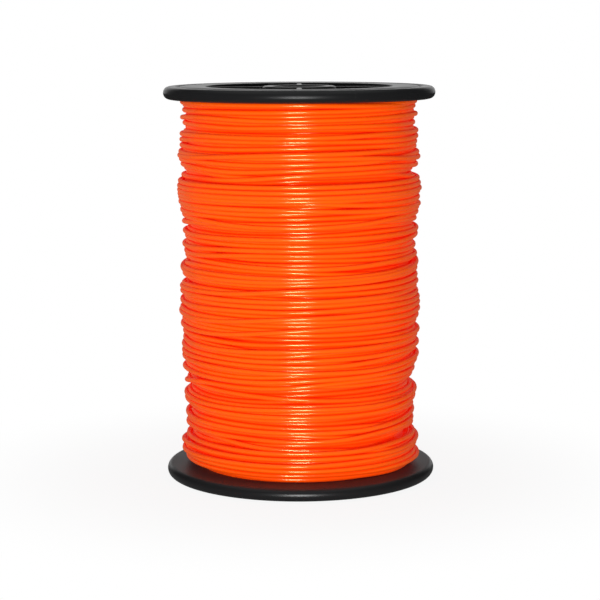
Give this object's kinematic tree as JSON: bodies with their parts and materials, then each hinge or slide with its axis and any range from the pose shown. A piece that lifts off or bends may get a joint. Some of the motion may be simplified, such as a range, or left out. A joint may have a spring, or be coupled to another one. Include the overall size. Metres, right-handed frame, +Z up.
{
  "type": "spool of trimmer line",
  "caption": "Black moulded spool with round-rimmed flanges and a central arbor bore, filled with cross-wound orange nylon trimmer line.",
  "frame": {"origin": "centre of the lower flange's outer face, on which the spool stands", "axes": "+Z up along the spool's axis and its arbor bore; +X and +Y run along the flange's ribs"},
  "size_m": [0.132, 0.132, 0.191],
  "materials": {
    "spool_plastic": "satin black moulded plastic",
    "nylon_line": "glossy orange extruded nylon"
  },
  "bodies": {
    "root": {"spool": "spool_plastic", "line_winding": "nylon_line"}
  },
  "joints": []
}
